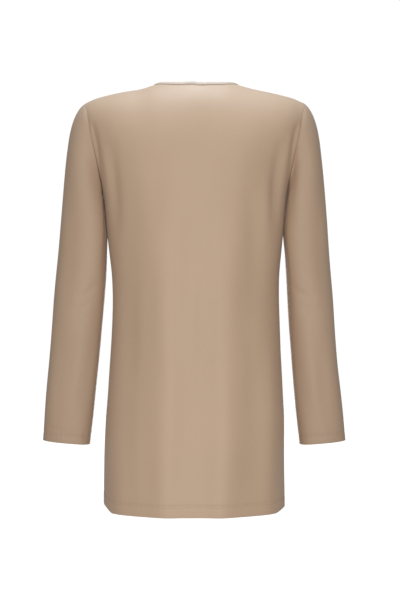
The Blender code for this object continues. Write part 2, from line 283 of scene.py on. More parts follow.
# Creases of the body: a line from its start over its middle to its end, half width, and height,
# which is below nought for a trough
PATH = "start_x start_z middle_x middle_z end_x end_z half_width height"
BODY_CREASES = {
    "back": table(
        PATH,
        (186, -74, 179, -112, 171, -170, 5.5, -3.4),
        (171, -92, 158, -168, 153, -262, 6.5, 2.2),
        (148, -112, 143, -189, 139, -285, 10, -3.5),
        (-186, -76, -178, -112, -171, -172, 5.5, -3.4),
        (-171, -96, -159, -176, -153, -264, 6.5, 2.2),
        (-156, -108, -145, -172, -141, -268, 10, -3.9),
        (-126, -170, -128, -230, -127, -300, 9, 1.3),
        (-96, -190, -106, -300, -112, -450, 17, -3.0),
        (108, -180, 116, -350, 121, -700, 18, -3.0),
        (86, -300, 92, -420, 96, -560, 12, 1.0),
        (-6, -210, -10, -420, -5, -760, 9, -1.1),
        (18, -225, 28, -330, 22, -470, 8, -0.7),
        (-34, -250, -44, -360, -38, -560, 9, 0.8),
        (-106, -450, -106, -620, -112, -860, 16, -2.4),
        (-134, -430, -136, -600, -132, -820, 12, 1.6),
        (118, -560, 116, -700, 118, -920, 16, -2.0),
    ),
    "front": table(
        PATH,
        (180, -90, 171, -146, 156, -226, 7, -2.4),
        (168, -96, 152, -166, 141, -250, 8, 2.1),
        (148, -116, 133, -184, 118, -260, 10, -2.4),
        (-181, -88, -172, -142, -160, -232, 7, -2.3),
        (-168, -100, -154, -160, -146, -236, 7, 2.0),
        (-150, -108, -138, -176, -126, -282, 10, -2.2),
        (96, -250, 108, -400, 104, -600, 15, -1.8),
        (-92, -270, -104, -390, -110, -560, 14, -2.0),
        (4, -340, 2, -560, 6, -830, 15, -2.2),
        (132, -420, 128, -560, 134, -760, 10, 1.2),
        (-128, -470, -132, -620, -126, -820, 11, -1.3),
        (-84, -112, -60, -132, -34, -138, 9, -0.9),
        (78, -104, 58, -126, 38, -134, 8, -0.8),
    ),
}

# Creases of the sleeves: the place round the arm is measured from its outer side, back and then front
SLEEVE_CREASES = {
    "left": table(
        PATH,
        (100, -110, 99, -215, 98, -380, 16, 3.0),
        (112, -130, 114, -200, 112, -290, 8, -1.6),
        (44, -130, 46, -262, 42, -420, 17, -2.8),
        (22, -120, 26, -210, 24, -300, 14, 1.2),
        (104, -352, 84, -382, 58, -392, 7, -1.3),
        (98, -384, 76, -408, 52, -412, 6, -0.9),
        (74, -430, 78, -520, 70, -610, 14, 1.4),
        (44, -440, 40, -540, 46, -640, 13, -1.4),
        (22, -628, 44, -631, 66, -635, 3.2, -0.9),
        (-104, -140, -100, -220, -92, -330, 11, 1.6),
        (-70, -150, -64, -260, -58, -380, 14, -1.8),
        (-110, -356, -84, -374, -52, -372, 7, -1.5),
        (-98, -392, -76, -404, -46, -398, 6, -1.2),
        (-84, -420, -66, -428, -40, -420, 6, -0.9),
        (-62, -450, -70, -540, -64, -630, 13, 1.3),
    ),
    "right": table(
        PATH,
        (88, -110, 92, -170, 102, -240, 6.5, 2.0),
        (64, -98, 74, -160, 86, -230, 7.5, 1.8),
        (76, -88, 84, -140, 97, -196, 5.5, -2.6),
        (46, -160, 46, -280, 42, -420, 17, -2.8),
        (24, -130, 22, -220, 26, -310, 14, 1.1),
        (106, -362, 84, -382, 56, -394, 6.5, -1.7),
        (92, -396, 72, -412, 48, -416, 6, -1.0),
        (98, -220, 98, -320, 96, -440, 15, 2.6),
        (78, -430, 74, -530, 78, -620, 14, 1.3),
        (46, -450, 52, -550, 46, -640, 13, -1.3),
        (-100, -136, -98, -210, -90, -320, 12, 1.7),
        (-66, -146, -62, -250, -60, -360, 14, -1.7),
        (-108, -360, -80, -380, -50, -378, 7, -1.6),
        (-96, -398, -70, -410, -44, -402, 6, -1.1),
        (-58, -440, -66, -530, -60, -640, 13, 1.2),
    ),
}

# Gentle unevenness of hanging cloth: waves by their length across and along, and their height
WAVES = table(
    "across along offset height",
    (150, 420, 30, 0.45),
    (97, -610, 75, 0.35),
    (61, 380, 10, 0.20),
    (230, 170, 120, 0.35),
    (43, -290, 20, 0.10),
)


# ---------------------------------------------------------------- shapes of the cloth


def curve(rows, column, at, along="height"):
    """Smooth curve through a table's column: a cubic from row to row, with slopes from the rows beside."""
    places, values = rows[along], rows[column]
    slopes = np.gradient(values, places)
    i = np.clip(np.searchsorted(places, at) - 1, 0, len(places) - 2)
    step = places[i + 1] - places[i]
    t = np.clip((at - places[i]) / step, 0, 1)
    start = (2 * t**3 - 3 * t**2 + 1) * values[i] + (t**3 - 2 * t**2 + t) * step * slopes[i]
    end = (3 * t**2 - 2 * t**3) * values[i + 1] + (t**3 - t**2) * step * slopes[i + 1]
    return start + end


def unit(vectors):
    """Vectors scaled to length one."""
    return vectors / np.linalg.norm(vectors, axis=-1, keepdims=True)


def smooth(x):
    """Step from 0 to 1 with level ends: 3x^2 - 2x^3."""
    x = np.clip(x, 0, 1)
    return x * x * (3 - 2 * x)


def bell(x):
    """Bell of height 1 at nought: e to the power of -x^2."""
    return np.exp(-x * x)


def rounded(fraction, power):
    """Height of a superellipse quarter: 1 in the middle, 0 where the fraction reaches 1."""
    return (1 - np.clip(np.abs(fraction), 0, 1) ** power) ** (1 / power)


def shoulder_line(x):
    """Height of the shoulder line over a point at distance x from the middle."""
    return curve(SHOULDER, "height", np.abs(x), along="distance")


def round_over(x, z, panel):
    """Share of the body's depth that is reached at this height: 0 on the shoulder line, then 1."""
    below = (shoulder_line(x) - z) / ROUND_REACH[panel]
    return rounded(1 - np.clip(below, 0, 1), ROUND_POWER[panel])


def fold_relief(x, z, panel):
    """Broad folds: each a cosine hump on a slanting line, growing from its top down."""
    rows = FOLDS[panel]
    relief = np.zeros_like(x)
    for top_x, top_height, hem_x, half_width, rise in zip(*rows.values()):
        down = np.clip((top_height - z) / (top_height - HEM), 0, 1)
        middle = top_x + (hem_x - top_x) * down
        across = np.clip((x - middle) / half_width, -1, 1)
        relief = relief + rise * smooth(down / FOLD_GROWTH) * (1 + np.cos(np.pi * across)) / 2
    return relief


def body_power(z):
    """Power of the body's section, from the table's thousandths."""
    return curve(BODY, "power", z)


def body_depth(x, z, panel):
    """Distance of the panel from the plane of the side seams: section outline times round-over."""
    outline = rounded(x / curve(BODY, "half_width", z), body_power(z))
    depth = curve(BODY, panel, z) + fold_relief(x, z, panel)
    return depth * outline * round_over(x, z, panel)


def body_side(y, z, panel):
    """Distance of the body's side from its middle at depth y: body_depth turned round, by the armhole."""
    round_share = np.maximum(round_over(ARMHOLE_MIDDLE, z, panel), LEAST_ROUND)
    share = np.abs(y) / (curve(BODY, panel, z) * round_share)
    return curve(BODY, "half_width", z) * rounded(share, body_power(z))


def neck_dip(x, panel):
    """Small dip of the back neckline where the binding's ends are joined: a flat-bottomed step."""
    inside = NECK_DIP["half_width"] - np.abs(x - NECK_DIP["middle"])
    return NECK_DIP["depth"] * smooth(inside / NECK_DIP["slope"]) * (panel == "back")


def top_edge(x, panel):
    """Height of a panel's top edge: the shoulder seam, and between its inner ends the neckline."""
    oval = NECK_DEPTH[panel] * np.sqrt(np.clip(1 - (x / NECK_HALF_WIDTH) ** 2, 0, 1))
    outline = rounded(x / BODY["half_width"][-1], BODY["power"][-1])
    share = oval / (BODY[panel][-1] * outline)
    below = ROUND_REACH[panel] * (1 - rounded(share, ROUND_POWER[panel]))
    return shoulder_line(x) - below - neck_dip(x, panel)


def column_shares():
    """Columns across a panel as shares of its half width: even round the body, and by the neck on top."""
    neck = NECK_HALF_WIDTH / SHOULDER["distance"][-1]
    inner = neck * np.sin(np.linspace(0, np.pi / 2, NECK_COLUMNS + 1))
    outer = neck + (1 - neck) * np.sin(np.linspace(0, np.pi / 2, SHOULDER_COLUMNS + 1)[1:])
    body = np.sin(np.linspace(0, np.pi / 2, NECK_COLUMNS + SHOULDER_COLUMNS + 1))
    halves = np.stack([body, np.concatenate([inner, outer])])
    return np.concatenate([-halves[:, :0:-1], halves], axis=1)


def side_heights():
    """Heights of the rows at a panel's side: fine in the hem band, even above, dense at the armhole."""
    band_top = HEM + 1.3 * HEM_BAND
    band = np.linspace(HEM, band_top, HEM_BAND_ROWS + 1)[:-1]
    seam = np.linspace(band_top, UNDERARM, BODY_ROWS - HEM_BAND_ROWS + 1)[:-1]
    turn = np.linspace(0, np.pi, ARMHOLE_ROWS + 1)
    armhole = UNDERARM + (SHOULDER_TIP - UNDERARM) * (1 - np.cos(turn)) / 2
    return np.concatenate([band, seam, armhole])


def surface_normals(points, outward):
    """Unit normals of a grid of points, as the cross product of its two directions."""
    across = np.gradient(points, axis=1)
    up = np.gradient(points, axis=0)
    return unit(np.cross(across, up)) * outward


def panel_surface(panel):
    """Smooth outer surface of a body panel, rows from the hem up and columns from -X to +X."""
    heights = side_heights()
    side_x = np.where(heights <= UNDERARM, curve(BODY, "half_width", heights),
                      curve(ARMHOLE, "distance", heights))
    climb = np.clip((heights - UNDERARM) / (SHOULDER_TIP - UNDERARM), 0, 1)[:, None]
    body_shares, top_shares = column_shares()
    shares = body_shares + climb * (top_shares - body_shares)
    x = side_x[:, None] * shares
    hitch = np.where(shares > 0, HEM_HITCH["left"], HEM_HITCH["right"])
    hitch = hitch * smooth((np.abs(shares) - HITCH_START) / (1 - HITCH_START))
    hitch = hitch * (1 - smooth((heights[:, None] - HEM) / HITCH_FADE))
    top = top_edge(x[-1], panel)
    z = np.where(climb > 0, UNDERARM + climb * (top - UNDERARM), heights[:, None] + hitch)
    y = OUTWARD[panel] * np.maximum(body_depth(x, z, panel), SIDE_SEAM_GAP / 2)
    neck_pull = NECK_SHIFT * climb * np.clip(1 - np.abs(x) / side_x[-1], 0, 1)
    points = np.stack([x + curve(BODY, "shift", z) + neck_pull, y, z], axis=-1)
    return points, surface_normals(points, -OUTWARD[panel])


def run_lengths(points, axis):
    """Length of cloth along a grid's rows or columns, from the first one."""
    steps = np.linalg.norm(np.diff(points, axis=axis), axis=-1)
    zero = np.zeros_like(np.take(steps, [0], axis=axis))
    return np.cumsum(np.concatenate([zero, steps], axis=axis), axis=axis)


def crease_relief(across, along, rows):
    """Troughs and ridges. Each follows a bent line; its section is a bell, and it swells and fades with
    the sine of the way along. The line is cut into short straight steps and the nearest one counts."""
    relief = np.zeros_like(across)
    t = np.linspace(0, 1, CREASE_STEPS + 1)
    for start_x, start_z, middle_x, middle_z, end_x, end_z, half_width, height in zip(*rows.values()):
        bend_x, bend_z = 2 * middle_x - (start_x + end_x) / 2, 2 * middle_z - (start_z + end_z) / 2
        line_x = (1 - t) ** 2 * start_x + 2 * t * (1 - t) * bend_x + t**2 * end_x
        line_z = (1 - t) ** 2 * start_z + 2 * t * (1 - t) * bend_z + t**2 * end_z
        nearest = np.full_like(across, np.inf)
        way = np.zeros_like(across)
        for k in range(CREASE_STEPS):
            run_x, run_z = line_x[k + 1] - line_x[k], line_z[k + 1] - line_z[k]
            off_x, off_z = across - line_x[k], along - line_z[k]
            share = np.clip((off_x * run_x + off_z * run_z) / (run_x**2 + run_z**2), 0, 1)
            square = (off_x - share * run_x) ** 2 + (off_z - share * run_z) ** 2
            way = np.where(square < nearest, (k + share) / CREASE_STEPS, way)
            nearest = np.minimum(nearest, square)
        relief += height * np.sin(np.pi * way) ** CREASE_SWELL * bell(np.sqrt(nearest) / half_width)
    return relief


def wave_relief(across, along):
    """Sum of the gentle waves: each the sine of a slanting distance."""
    relief = np.zeros_like(across)
    for length, rise, offset, height in zip(*WAVES.values()):
        relief += height * np.sin(2 * np.pi * ((across + offset) / length + along / rise))
    return relief


def stitched_band(edge, rows, along):
    """Relief of a stitched hem by the distance from its edge: a dip at each row, puckered along it."""
    relief = np.zeros_like(edge)
    for row in rows:
        relief -= STITCH_DIP * bell((edge - row) / STITCH_DIP_WIDTH)
    middle = sum(rows) / len(rows)
    first = np.sin(2 * np.pi * along / PUCKER_LENGTH)
    second = SECOND_PUCKER["height"] * np.sin(2 * np.pi * along / SECOND_PUCKER["length"])
    return relief + PUCKER * (first + second) * bell((edge - middle) / PUCKER_FADE)


def seam_relief(distance):
    """Cloth rolls in at a seam: a dip that fades with the distance from it."""
    return -SEAM_DIP * bell(distance / SEAM_DIP_WIDTH)


def finished_panel(panel):
    """Body panel with its creases, seam dips and stitched hem: points, normals, distance from the hem
    and place on the flat cloth."""
    points, normals = panel_surface(panel)
    x, z = points[..., 0], points[..., 2]
    across, along = run_lengths(points, 1), run_lengths(points, 0)
    side = np.minimum(across, across[:, -1:] - across)
    top = along[-1:] - along
    calm = 1 - bell(np.minimum(side, top) / EDGE_CALM)
    relief = (crease_relief(x, z, BODY_CREASES[panel]) + wave_relief(x, z)) * calm
    relief += seam_relief(np.minimum(side, top)) + stitched_band(along, HEM_ROWS, across)
    points = points + relief[..., None] * normals
    points[..., 1] = OUTWARD[panel] * np.maximum(OUTWARD[panel] * points[..., 1], SIDE_SEAM_GAP / 2)
    middle = across.shape[1] // 2
    places = np.stack([across - across[:, middle:middle + 1], along], axis=-1)
    return points, surface_normals(points, -OUTWARD[panel]), along, places


def armhole_loop(side):
    """Armhole from the underarm up the back and down the front: points, cloth normals, way out."""
    sign = SIDES[side]
    loop = {}
    for panel in ("back", "front"):
        points, normals = panel_surface(panel)
        column = -1 if sign > 0 else 0
        edge, cloth = points[BODY_ROWS:, column], normals[BODY_ROWS:, column]
        way_out = unit(np.cross(cloth, np.gradient(edge, axis=0))) * sign * OUTWARD[panel]
        loop[panel] = np.stack([edge, cloth, way_out])
    ends = (loop["back"] + loop["front"]) / 2
    up_the_back, down_the_front = loop["back"][:, 1:-1], loop["front"][:, -2:0:-1]
    whole = np.concatenate([ends[:, :1], up_the_back, ends[:, -1:], down_the_front], axis=1)
    edge, cloth, way_out = whole
    return edge, unit(cloth), unit(way_out)


def sleeve_angles():
    """Angle of each point round a sleeve: half a turn under the arm, 0 on the outside, back first."""
    return np.pi - np.arange(2 * ARMHOLE_ROWS) * np.pi / ARMHOLE_ROWS


def sleeve_ring(side, height):
    """Ring of a sleeve's tube: a superellipse of the table's width and girth, tilted with the arm."""
    rows, angle = SLEEVE[side], sleeve_angles()
    inner, outer = curve(rows, "inner", height), curve(rows, "outer", height)
    half_width = (outer - inner) / 2
    mean_square = 2 * (curve(rows, "girth", height) / (2 * np.pi)) ** 2
    half_depth = np.sqrt(mean_square - half_width**2)
    reach = (np.abs(np.cos(angle) / half_width) ** SLEEVE_POWER
             + np.abs(np.sin(angle) / half_depth) ** SLEEVE_POWER) ** (-1 / SLEEVE_POWER)
    x = (inner + outer) / 2 + reach * np.cos(angle)
    y = reach * np.sin(angle) - curve(rows, "forward", height)
    z = height + CUFF_TILT * reach * np.cos(angle)
    return np.stack([x * SIDES[side], y, z], axis=-1)


def sleeve_cap(side):
    """Rings from the armhole to the tube: a cubic curve for each point round the sleeve."""
    edge, _, way_out = armhole_loop(side)
    tube = sleeve_ring(side, SLEEVE_TUBE_TOP)
    below = sleeve_ring(side, SLEEVE_TUBE_TOP - TUBE_LEAD)
    under = (1 - np.cos(sleeve_angles())) / 2
    slope = CAP_SLOPE_TOP[side] + (CAP_SLOPE_UNDER - CAP_SLOPE_TOP[side]) * under
    leave = np.stack([np.cos(slope) * SIDES[side], np.zeros_like(slope), -np.sin(slope)], axis=-1)
    chord = np.linalg.norm(tube - edge, axis=-1, keepdims=True)
    first = edge + SEAM_GAP * way_out
    second = first + CAP_REACH_START * chord * leave
    third = tube + CAP_REACH_END * chord * unit(tube - below)
    t = np.linspace(0, 1, CAP_RINGS + 1)[:, None, None] ** CAP_GRADING
    near_edge = (1 - t) ** 3 * first + 3 * t * (1 - t) ** 2 * second
    return near_edge + 3 * t**2 * (1 - t) * third + t**3 * tube


def clear_of_body(rings, side):
    """Rings with the points on the arm's inner half moved out, just clear of the body's side."""
    x, y, z = np.moveaxis(rings, -1, 0)
    out = x * SIDES[side]
    body = np.where(y > 0, body_side(y, z, "back"), body_side(y, z, "front"))
    body = body + curve(BODY, "shift", z) * SIDES[side] + SLEEVE_CLEARANCE
    inner_half = np.cos(sleeve_angles())[None, :] < INNER_HALF
    pushed = np.where(inner_half, np.maximum(out, body), out)
    return np.stack([pushed * SIDES[side], y, z], axis=-1)


def ring_normals(rings, side):
    """Normals of closed rings: the grid's own, with the first and last column wrapped round."""
    wrapped = np.concatenate([rings[:, -1:], rings, rings[:, :1]], axis=1)
    return surface_normals(wrapped, SIDES[side])[:, 1:-1]


def finished_sleeve(side):
    """Sleeve with its creases, seam dips and stitched cuff, rings from the armhole to the cuff."""
    heights = np.linspace(SLEEVE_TUBE_TOP, CUFF, TUBE_RINGS + 1)[1:]
    tube = np.stack([sleeve_ring(side, height) for height in heights])
    rings = clear_of_body(np.concatenate([sleeve_cap(side), tube]), side)
    normals = ring_normals(rings, side)
    edge, cloth, way_out = armhole_loop(side)
    agree = np.sum(cloth * normals[1], axis=-1, keepdims=True)
    rings[0] = edge + SEAM_GAP * (way_out + cloth * (1 - agree) / 2)
    share = np.clip(agree, 0, 1)
    normals[0] = unit(share * cloth + (1 - share) * normals[1])

    angle = sleeve_angles()[None, :]
    around = ARM_RADIUS * angle + 0 * rings[..., 0]
    along = run_lengths(rings, 0)
    to_cuff = along[-1:] - along
    under_seam = ARM_RADIUS * (np.pi - np.abs(angle))
    calm = 1 - bell(along / EDGE_CALM)
    free = smooth((np.cos(angle) - CREASE_FREE["start"]) / CREASE_FREE["width"])
    creases = crease_relief(around, rings[..., 2], SLEEVE_CREASES[side])
    relief = (creases + wave_relief(around, rings[..., 2])) * free * calm
    relief += seam_relief(along) + seam_relief(under_seam) * calm
    relief += stitched_band(to_cuff, CUFF_ROWS, around)
    outer = rings + relief[..., None] * normals
    normals = np.where(along[..., None] > SEAM_EASE, ring_normals(outer, side), normals)
    return outer, normals, to_cuff, np.stack([around, along], axis=-1)


def neck_loop():
    """Neckline as a closed loop, the back from -X to +X and then the front: points and normals."""
    centre = NECK_COLUMNS + SHOULDER_COLUMNS
    middle = slice(centre - NECK_COLUMNS, centre + NECK_COLUMNS + 1)
    back = np.stack([part[-1, middle] for part in panel_surface("back")])
    front = np.stack([part[-1, middle] for part in panel_surface("front")])[:, ::-1]
    near, far = (back[:, :1] + front[:, -1:]) / 2, (back[:, -1:] + front[:, :1]) / 2
    points, normals = np.concatenate([near, back[:, 1:-1], far, front[:, 1:-1]], axis=1)
    return points, unit(normals)


def binding_section():
    """Section of the folded binding: a superellipse from its seam up, fuller towards its lower edge."""
    angle = np.arange(BINDING_POINTS) * 2 * np.pi / BINDING_POINTS
    power = 2 / BINDING_POWER
    out = np.sign(np.cos(angle)) * np.abs(np.cos(angle)) ** power
    high = np.sign(np.sin(angle)) * np.abs(np.sin(angle)) ** power
    height = BINDING_HEIGHT * (1 + high) / 2
    off_belly = (height - BINDING_BELLY["height"]) / BINDING_BELLY["half_width"]
    belly = 1 + BINDING_BELLY["swell"] * bell(off_belly)
    return BINDING_THICKNESS / 2 * out * belly, height


# ---------------------------------------------------------------- meshes


def turned_outwards(vertices, faces):
    """Faces turned so that the volume they enclose is above nought."""
    corners = vertices[faces]
    middle = corners.mean(axis=1)
    normal = np.cross(corners[:, 2] - corners[:, 0], corners[:, 3] - corners[:, 1]) / 2
    return faces if np.sum(middle * normal) > 0 else faces[:, ::-1]


def quads(i, j, up, over, width):
    """Four-cornered faces between rows i and up and columns j and over, with width points to a row."""
    corners = [i * width + j, i * width + over, up * width + over, up * width + j]
    return np.stack(corners, -1).reshape(-1, 4)


def put_in_scene(name, mesh, material):
    """Object at the origin that shows the mesh in one material."""
    mesh.materials.append(material)
    shown = bpy.data.objects.new(name, mesh)
    bpy.context.scene.collection.objects.link(shown)
    return shown


def make_piece(name, vertices, faces, material, cloth_map):
    """One closed mesh object; cloth_map has a place on the flat cloth for each corner of each face."""
    turned = turned_outwards(vertices, faces)
    if turned is not faces:
        cloth_map = cloth_map[:, ::-1]
    mesh = bpy.data.meshes.new(name)
    mesh.vertices.add(len(vertices))
    mesh.vertices.foreach_set("co", vertices.astype(np.float32).ravel())
    mesh.loops.add(turned.size)
    mesh.loops.foreach_set("vertex_index", turned.astype(np.int32).ravel())
    mesh.polygons.add(len(turned))
    mesh.polygons.foreach_set("loop_start", np.arange(len(turned), dtype=np.int32) * 4)
    mesh.update(calc_edges=True)
    mesh.validate()
    mesh.shade_smooth()
    mesh.set_sharp_from_angle(angle=SHARP_ANGLE)
    layer = mesh.uv_layers.new(name="cloth")
    layer.data.foreach_set("uv", np.ascontiguousarray(cloth_map, dtype=np.float32).ravel())
    piece = put_in_scene(name, mesh, material)
    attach(piece, "root")
    return piece


def cloth_wall(name, outer, normals, edge, cloth, material, closed):
    """Wall of cloth on a grid. The rows run up the outer face, over a rim, down the inner face and over
    the other rim, so the grid closes on itself; the columns close too on a sleeve, and on a panel each
    side is closed by a ladder. The hem band is two layers thick, and free edges are rounded."""
    thickness = CLOTH * (1 + HEM_EXTRA * smooth((HEM_BAND - edge) / MM))
    inner = outer - thickness[..., None] * normals
    turn = (np.arange(RIM_STEPS) + 0.5) * np.pi / RIM_STEPS

    def rim(row, beyond, bulge):
        """Half circle from the outer edge to the inner one, swelling away from the cloth."""
        middle, half = (outer[row] + inner[row]) / 2, (outer[row] - inner[row]) / 2
        away = unit(outer[row] - outer[beyond]) * np.linalg.norm(half, axis=-1, keepdims=True) * bulge
        return middle + np.cos(turn)[:, None, None] * half + np.sin(turn)[:, None, None] * away

    hem_first = edge[0, 0] < edge[-1, 0]
    first_rim = rim(0, 1, FREE_RIM if hem_first else SEWN_RIM)[::-1]
    last_rim = rim(-1, -2, SEWN_RIM if hem_first else FREE_RIM)
    loop = np.concatenate([outer, last_rim, inner[::-1], first_rim])
    places = np.concatenate([cloth, np.repeat(cloth[-1:], RIM_STEPS, 0), cloth[::-1],
                             np.repeat(cloth[:1], RIM_STEPS, 0)])
    if closed:
        last = places[:, :1].copy()
        last[..., 0] -= 2 * np.pi * ARM_RADIUS
        places = np.concatenate([places, last], axis=1)
    rows, count = loop.shape[:2]
    wide = places.shape[1]
    i, j = np.meshgrid(np.arange(rows), np.arange(count if closed else count - 1), indexing="ij")
    up, over = (i + 1) % rows, (j + 1) % count
    faces = quads(i, j, up, over, count)
    spots = quads(i, j, up, j + 1, wide)
    if not closed:
        half = RIM_STEPS // 2
        step = np.arange(-half, outer.shape[0] + half - 1)
        pair = 2 * outer.shape[0] + RIM_STEPS - 1 - step
        ladder = np.stack([step, pair, pair - 1, step + 1], -1) % rows
        sides = np.concatenate([ladder * count, ladder[:, ::-1] * count + count - 1])
        faces, spots = np.concatenate([faces, sides]), np.concatenate([spots, sides])
    return make_piece(name, loop.reshape(-1, 3), faces, material, places.reshape(-1, 2)[spots])


def ring_tube(name, sections, material, cloth_map):
    """Closed ring: a grid of section points carried round a closed path, both ways joined."""
    count, around = sections.shape[:2]
    i, j = np.meshgrid(np.arange(count), np.arange(around), indexing="ij")
    over, up = (j + 1) % around, (i + 1) % count
    places = cloth_map.reshape(-1, 2)[quads(i, j, i + 1, j + 1, around + 1)]
    return make_piece(name, sections.reshape(-1, 3), quads(i, j, up, over, around), material, places)


def row_of_stitches(path, normals, closed):
    """Stitches along a path on the cloth: each a spindle of thread, arched as a half circle, its ends
    sunk in, set by arc length. Returns the points of all of them, the four-cornered faces, the first
    point of each, and how many points each has."""
    if closed:
        path, normals = np.concatenate([path, path[:1]]), np.concatenate([normals, normals[:1]])
    length = run_lengths(path, 0)
    middles = np.arange(STITCH_STEP, length[-1] - STITCH_STEP / 2, STITCH_STEP)

    def read(values, at):
        return np.stack([np.interp(at, length, values[:, k]) for k in range(3)], axis=-1)

    share = np.linspace(-1, 1, STITCH_RINGS)
    along = middles[:, None] + share * STITCH_LENGTH / 2
    spine = read(path, along.ravel()).reshape(*along.shape, 3)
    up = unit(read(normals, along.ravel())).reshape(*along.shape, 3)
    arch = np.sqrt(np.clip(1 - share**2, 0, 1))[None, :, None]
    spine = spine + up * THREAD * (STITCH_ARCH * arch - STITCH_SINK)
    forward = unit(np.gradient(spine, axis=1))
    sideways = np.cross(up, forward)
    angle = np.arange(STITCH_SIDES) * 2 * np.pi / STITCH_SIDES
    round_x = np.cos(angle)[None, None, :, None]
    round_y = np.sin(angle)[None, None, :, None]
    radius = THREAD * (STITCH_END + (1 - STITCH_END) * arch)[:, :, None]
    rings = spine[:, :, None] + radius * (round_x * sideways[:, :, None] + round_y * up[:, :, None])
    stitches, steps, sides = rings.shape[:3]
    s, i, j = np.meshgrid(np.arange(stitches), np.arange(steps - 1), np.arange(sides), indexing="ij")
    ring = s * steps + i
    tube = quads(ring, j, ring + 1, (j + 1) % sides, sides)
    return rings.reshape(-1, 3), tube, np.arange(stitches) * steps * sides, steps * sides


def stitches_piece(name, paths, material):
    """All the stitches of one piece as one mesh: tubes whose ends are closed by a point."""
    vertices, faces, base = [], [], 0
    j = np.arange(STITCH_SIDES)[None, :]
    over = (j + 1) % STITCH_SIDES
    for path, normals, closed in paths:
        points, tube, starts, size = row_of_stitches(path, normals, closed)
        first = starts[:, None]
        last = first + size - STITCH_SIDES
        tips = np.stack([points[first + j].mean(1), points[last + j].mean(1)], 1)
        tip = len(points) + np.arange(2 * len(starts)).reshape(-1, 2)
        near = np.stack([first + over, first + j, tip[:, :1] + 0 * j], -1)
        far = np.stack([last + j, last + over, tip[:, 1:] + 0 * j], -1)
        vertices.append(np.concatenate([points, tips.reshape(-1, 3)]))
        faces += (tube + base).tolist() + (near.reshape(-1, 3) + base).tolist()
        faces += (far.reshape(-1, 3) + base).tolist()
        base += len(vertices[-1])
    mesh = bpy.data.meshes.new(name)
    mesh.from_pydata(np.concatenate(vertices).tolist(), [], faces)
    mesh.update()
    mesh.shade_smooth()
    piece = put_in_scene(name, mesh, material)
    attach(piece, "root")
    return piece


# ---------------------------------------------------------------- finishes


class Value:
    """An output socket that can stand in a Python expression: each operator adds its Math node."""

    def __init__(self, tree, socket):
        self.tree, self.socket = tree, socket

    def math(self, operation, *others):
        """Math node on this value and the others, in the order given."""
        values = {i: value for i, value in enumerate((self, *others))}
        return node(self.tree, "ShaderNodeMath", {"operation": operation}, values)

    def __add__(self, other):
        return self.math("ADD", other)

    def __mul__(self, other):
        return self.math("MULTIPLY", other)

    def __sub__(self, other):
        return self.math("SUBTRACT", other)

    def __rsub__(self, other):
        return (self * -1) + other

    def sine(self):
        """Sine of the value, which is in radians."""
        return self.math("SINE")

    def size(self):
        """The value without its sign."""
        return self.math("ABSOLUTE")

    __radd__ = __add__
    __rmul__ = __mul__


def node(tree, kind, settings=None, values=None, output=0):
    """A node of that kind: its settings are set first, then the values or links of its sockets."""
    made = tree.nodes.new(kind)
    for name, setting in (settings or {}).items():
        setattr(made, name, setting)
    for name, value in (values or {}).items():
        if isinstance(value, Value):
            tree.links.new(value.socket, made.inputs[name])
        else:
            made.inputs[name].default_value = value
    return Value(tree, made.outputs[output])


def mix_colours(tree, factor, first, second):
    """Colour between two colours, by a factor."""
    values = {"Factor": factor, "A": (*first, 1), "B": (*second, 1)}
    return node(tree, "ShaderNodeMix", {"data_type": "RGBA"}, values, output=2)


def noise(tree, place, scale, detail):
    """Soft noise over a place, from about 0.3 to 0.7."""
    return node(tree, "ShaderNodeTexNoise", values={"Vector": place, "Scale": scale, "Detail": detail})


def new_material(name, fixed):
    """Material with one Principled shader, its fixed sockets set: the tree and the shader."""
    material = bpy.data.materials.new(name)
    material.use_nodes = True
    tree = material.node_tree
    shader = tree.nodes["Principled BSDF"]
    for socket, value in fixed.items():
        shader.inputs[socket].default_value = value
    return material, tree, shader


def jersey(name, light, dark, sheen):
    """Fine matt jersey: wales and courses of the knit on the cloth's own map, uneven dye, brushed sheen.

    The knit is the unsigned sine of the way across a wale, times a sine of the courses that leans with
    the wale. Soft patches, long slubs and a fine fuzz are added to it, for the dye and for the relief.
    """
    material, tree, shader = new_material(name, {
        "Sheen Weight": sheen,
        "Sheen Roughness": 0.38,
        "Sheen Tint": (*SHEEN_TINT, 1),
        "Specular IOR Level": 0.5,
    })
    cloth_map = node(tree, "ShaderNodeUVMap", {"uv_map": "cloth"})
    place = node(tree, "ShaderNodeTexCoord", output=3)
    across = node(tree, "ShaderNodeSeparateXYZ", values={0: cloth_map}, output=0)
    along = node(tree, "ShaderNodeSeparateXYZ", values={0: cloth_map}, output=1)
    wale = (across * (np.pi / WALE)).sine().size()
    lean = (across * (2 * np.pi / WALE)).sine().size() * 0.9
    course = (along * (2 * np.pi / COURSE) + lean).sine() * 0.5 + 0.5
    knit = wale * (course * 0.45 + 0.55)
    slub_place = node(tree, "ShaderNodeMapping", values={"Vector": cloth_map, "Scale": SLUB_SCALE})
    patches = noise(tree, place, PATCH_SCALE, 2.0)
    slubs = noise(tree, slub_place, 1.0, 1.0)
    fuzz = noise(tree, place, FUZZ_SCALE, 2.0)
    tone = patches * 0.9 + slubs * 0.35 + knit * 0.35 + fuzz * 0.2 - 0.4
    tree.links.new(mix_colours(tree, tone, dark, light).socket, shader.inputs["Base Color"])
    rough = 0.53 + patches * 0.06 + fuzz * 0.04
    tree.links.new(rough.socket, shader.inputs["Roughness"])
    height = knit * 0.7 + fuzz * 0.3 + slubs * 0.3
    bump = node(tree, "ShaderNodeBump",
                values={"Strength": 0.35, "Distance": KNIT_RELIEF, "Height": height})
    tree.links.new(bump.socket, shader.inputs["Normal"])
    return material


def with_painted_shade(colour):
    """Colour for the sleeves: the same dye scaled darker, a painted shade for the smaller amount of light
    that falls on them.
    """
    return tuple(SLEEVE_PAINTED_SHADE * part for part in colour)


